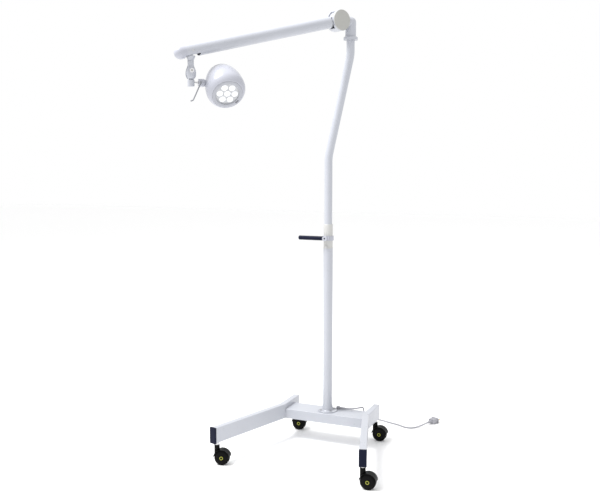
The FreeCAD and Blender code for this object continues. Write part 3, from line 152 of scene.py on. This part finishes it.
def mixed(add, factor, first, second):
    """Mixes two colours; either may be an RGB tuple or another node's output."""
    node = add("ShaderNodeMix", data_type="RGBA", clamp_factor=True)
    tree = node.id_data
    tree.links.new(factor, node.inputs[0])
    for socket, colour in ((node.inputs[6], first), (node.inputs[7], second)):
        if isinstance(colour, tuple):
            socket.default_value = (*colour, 1)
        else:
            tree.links.new(colour, socket)
    return node.outputs[2]


def finish(name, low, high, rough, grain=400.0, bump=0.08, metallic=0.0, coat=0.0, specular=0.5, patch=9.0):
    """A surface whose colour drifts between two tones, with fine relief and an uneven gloss."""
    material, tree, shader, add = blank(name)
    place = add("ShaderNodeTexCoord").outputs["Object"]
    tone = spread(add, noise(add, place, patch, 4.0), 0.0, 1.0)
    tree.links.new(mixed(add, tone, low, high), shader.inputs["Base Color"])
    gloss = spread(add, noise(add, place, patch * 6, 5.0, 0.6), rough[0], rough[1])
    tree.links.new(gloss, shader.inputs["Roughness"])
    height = noise(add, place, grain, 2.0)
    relief = add("ShaderNodeBump", {"Height": height, "Strength": bump, "Distance": RELIEF_DEPTH})
    tree.links.new(relief.outputs["Normal"], shader.inputs["Normal"])
    shader.inputs["Metallic"].default_value = metallic
    shader.inputs["Coat Weight"].default_value = coat
    shader.inputs["Coat Roughness"].default_value = 0.12
    shader.inputs["Specular IOR Level"].default_value = specular
    return material


def studio_floor():
    material, tree, shader, add = blank("studio_floor")
    place = add("ShaderNodeTexCoord").outputs["Object"]
    tree.links.new(spread(add, noise(add, place, 3.0), 0.6, 0.7), shader.inputs["Roughness"])
    shader.inputs["Base Color"].default_value = (0.99, 0.99, 0.99, 1)
    shader.inputs["Specular IOR Level"].default_value = 0.2
    return material


def lit(name, colour, strength):
    """A lens that glows from behind, a little unevenly, under a smooth skin."""
    material, tree, shader, add = blank(name)
    place = add("ShaderNodeTexCoord").outputs["Object"]
    tree.links.new(spread(add, noise(add, place, 60.0, 4.0), 0.10, 0.16), shader.inputs["Roughness"])
    tree.links.new(spread(add, noise(add, place, 90.0), strength * 0.85, strength),
                   shader.inputs["Emission Strength"])
    relief = add("ShaderNodeBump", {"Height": noise(add, place, 900.0), "Strength": 0.03,
                                    "Distance": RELIEF_DEPTH})
    tree.links.new(relief.outputs["Normal"], shader.inputs["Normal"])
    shader.inputs["Base Color"].default_value = (*colour, 1)
    shader.inputs["Emission Color"].default_value = (*colour, 1)
    return material


def paint_nodes():
    """Gives every CAD node that stays a worked-out surface."""
    # gloss powder coat: fine orange peel over metal
    white = finish("powder_white", (0.44, 0.455, 0.50), (0.46, 0.475, 0.52), (0.27, 0.31), grain=900,
                   bump=0.02, coat=0.2)
    moulded = finish("moulded_white", (0.42, 0.43, 0.485), (0.44, 0.45, 0.505), (0.26, 0.34), grain=900,
                     bump=0.03, coat=0.15)
    navy = finish("cap_navy", (0.004, 0.006, 0.020), (0.008, 0.010, 0.028), (0.4, 0.55), grain=1500,
                  bump=0.2, specular=0.1)
    black = finish("caster_black", (0.002, 0.002, 0.002), (0.005, 0.005, 0.005), (0.25, 0.4), grain=1200,
                   bump=0.08, specular=0.07)
    tread = finish("wheel_tread", (0.002, 0.002, 0.002), (0.006, 0.006, 0.006), (0.3, 0.45), grain=900,
                   bump=0.12, specular=0.07)
    steel = finish("bright_steel", (0.5, 0.5, 0.51), (0.62, 0.62, 0.63), (0.25, 0.4),
                   grain=700, bump=0.1, metallic=1)
    chrome = finish("chromed", (0.72, 0.72, 0.74), (0.8, 0.8, 0.82), (0.06, 0.14),
                    grain=500, bump=0.02, metallic=1)
    cover = finish("cover_grey", (0.38, 0.38, 0.36), (0.42, 0.42, 0.40), (0.35, 0.45), grain=1400, bump=0.12)
    sleeve = finish("sleeve_grey", (0.50, 0.50, 0.49), (0.53, 0.53, 0.52), (0.3, 0.42), grain=1200, bump=0.08)
    bezel = finish("bezel_grey", (0.36, 0.37, 0.41), (0.40, 0.41, 0.45), (0.28, 0.4), grain=1200, bump=0.06)
    face = finish("lens_face", (0.46, 0.47, 0.49), (0.50, 0.51, 0.53), (0.2, 0.32), grain=900, bump=0.04)
    cord = finish("cord_grey", (0.30, 0.30, 0.33), (0.36, 0.36, 0.39), (0.4, 0.52), grain=700, bump=0.12)
    board = finish("board_white", (0.7, 0.74, 0.7), (0.78, 0.8, 0.77), (0.4, 0.5), grain=500, bump=0.05)
    sink = finish("sink_aluminium", (0.68, 0.68, 0.7), (0.76, 0.76, 0.78), (0.3, 0.42),
                  grain=500, bump=0.1, metallic=1)
    strap = finish("tie_black", (0.01, 0.01, 0.01), (0.025, 0.025, 0.026), (0.7, 0.85), grain=2200, bump=0.6)
    brass = finish("pin_brass", (0.68, 0.55, 0.28), (0.76, 0.63, 0.36), (0.2, 0.3),
                   grain=400, bump=0.05, metallic=1)
    mark = finish("mark_grey", (0.16, 0.16, 0.18), (0.20, 0.20, 0.22), (0.4, 0.5), grain=1400, bump=0.1)
    rod = finish("rod_grey", (0.20, 0.21, 0.23), (0.25, 0.26, 0.28), (0.3, 0.42), grain=1400, bump=0.08)
    lime = finish("hub_lime", (0.30, 0.31, 0.035), (0.36, 0.37, 0.05), (0.35, 0.5), grain=1400, bump=0.1)
    glow = lit("led_glow", (0.80, 0.81, 0.83), 0.2)
    by_slot = {"powder_white": white, "moulded_white": moulded, "cap_navy": navy, "caster_black": black,
               "wheel_tread": tread, "bright_steel": steel, "chromed": chrome, "cover_grey": cover,
               "sleeve_grey": sleeve, "bezel_grey": bezel, "lens_face": face, "cord_grey": cord,
               "board_white": board, "sink_aluminium": sink, "tie_black": strap, "pin_brass": brass,
               "led_glow": glow, "hub_lime": lime, "mark_grey": mark}
    for entry in frame["record"]["subparts"]:
        node = nodes[entry["node"]]
        node.data.materials.clear()
        node.data.materials.append(by_slot[entry["material_slot"]])
    nodes["aiming_rod"].data.materials[0] = rod
    return by_slot


# ----------------------------------------------------------------------------- small parts
def lathe(name, profile, centre, axis, body, material, steps=48):
    """A turned piece: the profile's (radius, height) points in mm, revolved about the axis through centre."""
    verts = []
    faces = []
    for i in range(steps):
        angle = 2 * math.pi * i / steps
        verts += [(r * MM * math.cos(angle), r * MM * math.sin(angle), h * MM) for r, h in profile]
    count = len(profile)
    for i in range(steps):
        here, after = i * count, (i + 1) % steps * count
        faces += [(here + k, after + k, after + k + 1, here + k + 1) for k in range(count - 1)]
    way = Vector(axis).to_track_quat("Z", "Y").to_matrix().to_4x4()
    return place_mesh(name, verts, faces, Matrix.Translation(centre) @ way, body, material)


def place_mesh(name, verts, faces, place, body, material):
    """A smooth closed mesh with its edges rounded, riding on a body."""
    mesh = bpy.data.meshes.new(name)
    mesh.from_pydata(verts, [], faces)
    work = bmesh.new()
    work.from_mesh(mesh)
    bmesh.ops.remove_doubles(work, verts=work.verts, dist=1e-7)
    bmesh.ops.recalc_face_normals(work, faces=work.faces)
    work.to_mesh(mesh)
    work.free()
    for face in mesh.polygons:
        face.use_smooth = True
    piece = bpy.data.objects.new(name, mesh)
    scene.collection.objects.link(piece)
    piece.matrix_world = place
    edges = piece.modifiers.new("edges", "BEVEL")
    edges.width = EDGE_WIDTH * MM
    edges.segments = 2
    edges.limit_method = "ANGLE"
    split = piece.modifiers.new("split", "EDGE_SPLIT")
    split.split_angle = math.radians(SMOOTH_UP_TO)
    mesh.materials.append(material)
    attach(piece, body)
    return piece


def joint(name):
    """Position and axis of a joint of the record; a slide has no position."""
    entry = next(entry for entry in frame["record"]["behaviour"]["joints"] if entry["name"] == name)
    return Vector(entry.get("pos_m", (0, 0, 0))), Vector(entry["axis"])


def along(name, distance, sign=1):
    """A point on a joint's axis, distance in mm from its position, and the axis' direction there."""
    place, axis = joint(name)
    return place + axis * (sign * distance * MM), axis * sign


def make_hub_rings(finishes):
    """The yellow-green ring and the black cap in the hub of every wheel."""
    ring = [(4.3, 0), (4.3, 1.5), (4.8, 2.2), (5.6, 2.4), (6.5, 2.1), (7.0, 1.3), (7.1, 0), (4.3, 0)]
    cap = [(0, 0.9), (1.6, 1.0), (3.0, 1.4), (4.1, 1.2), (4.2, 0)]
    for caster in CASTERS:
        for wheel, sign in zip(WHEELS, (1, -1)):
            place, axis = along(f"{caster}_{wheel}_wheel_spin", WHEEL_FACE, sign)
            body = f"{caster}_{wheel}_wheel"
            lathe(f"{body}_hub_ring", ring, place, axis, body, finishes["hub_lime"])
            lathe(f"{body}_hub_cap", cap, place, axis, body, finishes["caster_black"])


def make_fasteners(finishes):
    """The screw in the handle boss and the socket in the knuckle bolt's head."""
    screw = [(0, 1.0), (1.5, 1.0), (1.6, 3.0), (2.8, 3.0), (3.2, 2.5), (3.2, 0)]
    lathe("handle_screw", screw, Vector(HANDLE_BOSS) * MM, (0, -1, 0), "base",
          finishes["tie_black"], 24)
    place, axis = along("knuckle_tilt", BOLT_FACE, -1)
    socket = [(0, 0.15), (2.4, 0.15), (2.8, 0.5), (3.6, 0.5), (3.9, 0)]
    lathe("bolt_socket", socket, place, axis, "drop_link", finishes["cover_grey"], 6)


def make_bezel_mark(finishes):
    """A small grey pad on the bezel, in the head's frame: X along its pin and Z away from the beam."""
    pin, across = joint("head_tilt")
    back = joint("switch_press")[1].normalized()
    back = back if back.z > 0 else -back
    middle = pin + across * (HEAD_REACH * MM) - back * (BEZEL_FACE * MM)
    place = Matrix.Translation(middle) @ Matrix((across, back.cross(across), back)).transposed().to_4x4()
    verts = []
    section = ((MARK_INNER, 0), (MARK_INNER, -MARK_HEIGHT), (MARK_OUTER, -MARK_HEIGHT), (MARK_OUTER, 0))
    count = len(section)
    for i in range(MARK_STEPS + 1):
        angle = math.radians(MARK_START + MARK_STEP * i)
        verts += [(r * MM * math.cos(angle), r * MM * math.sin(angle), h * MM) for r, h in section]
    last = count * MARK_STEPS
    faces = [tuple(range(count)), tuple(reversed(range(last, last + count)))]
    for i in range(MARK_STEPS):
        for k in range(count):
            here, after = count * i + k, count * i + (k + 1) % count
            faces.append((here, after, after + count, here + count))
    place_mesh("bezel_mark", verts, faces, place, "head", finishes["mark_grey"])


# ----------------------------------------------------------------------------- mains lead
# millimetres: from the gland over the rear edge of the beam and down to the coil,
LEAD_ROUTE = [(66, 35, 132.6), (93, 36, 133.4), (118, 52, 136), (127, 80, 133), (123, 106, 112),
              (112, 136, 84), (97, 164, 56), (74, 186, 28), (42, 200, 8), (8, 211, 3.3),
              (-20, 231, 3.3), (-37, 262, 4.6)]
# and from the coil along the floor to the plug
RUN_ROUTE = [(17, 333.5, 12), (48, 331, 8), (92, 334, 3.4), (138, 323, 3.1), (186, 303, 3.1),
             (222, 292, 3.1), (252, 272, 3.1), (284, 272, 3.1), (307, 297, 4.5), (324, 323, 9),
             (336, 348, 11)]
COIL_CENTRE = (0, 288)
# radius and height of the stored turns, in the order in which they were wound
COIL_TURNS = [(45.6, 4.6), (39.2, 4.6), (32.8, 4.6), (26.4, 4.6), (26.4, 11.3), (26.4, 18.0), (32.8, 18.0),
              (32.8, 11.3), (39.2, 11.3), (45.6, 11.3)]
COIL_START = 214
COIL_END = 96
POINTS_PER_TURN = 16
CORD_RADIUS = 3


def coil_points():
    """Turns wound clockwise from the lead's side; each slides into its next place over a fifth of a turn."""
    total = len(COIL_TURNS) - 1 + (COIL_START - COIL_END) / 360
    count = round(total * POINTS_PER_TURN)
    points = []
    for i in range(1, count):
        turns = i / POINTS_PER_TURN
        index = min(int(turns), len(COIL_TURNS) - 1)
        here, after = COIL_TURNS[index], COIL_TURNS[min(index + 1, len(COIL_TURNS) - 1)]
        slide = min(max((turns - index - 0.8) / 0.2, 0), 1)
        radius = here[0] + (after[0] - here[0]) * slide
        height = here[1] + (after[1] - here[1]) * slide
        angle = math.radians(COIL_START - 360 * turns)
        points.append((COIL_CENTRE[0] + radius * math.cos(angle),
                       COIL_CENTRE[1] + radius * math.sin(angle), height))
    return points


def make_cord(material):
    curve = bpy.data.curves.new("mains_lead", "CURVE")
    curve.dimensions = "3D"
    curve.resolution_u = 6
    curve.bevel_depth = CORD_RADIUS * MM
    curve.bevel_resolution = 4
    curve.use_fill_caps = True
    spline = curve.splines.new("NURBS")
    points = LEAD_ROUTE + coil_points() + RUN_ROUTE
    spline.points.add(len(points) - 1)
    for point, place in zip(spline.points, points):
        point.co = (*(value * MM for value in place), 1)
    spline.order_u = 3
    spline.use_endpoint_u = True
    curve.materials.append(material)
    cord = bpy.data.objects.new("mains_lead", curve)
    scene.collection.objects.link(cord)
    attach(cord, "base")
    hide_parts("cord_lead", "cord_coil", "cord_run")
    return cord


# ----------------------------------------------------------------------------- build
make_camera()
make_studio()
finishes = paint_nodes()
make_cord(finishes["cord_grey"])
make_hub_rings(finishes)
make_fasteners(finishes)
make_bezel_mark(finishes)
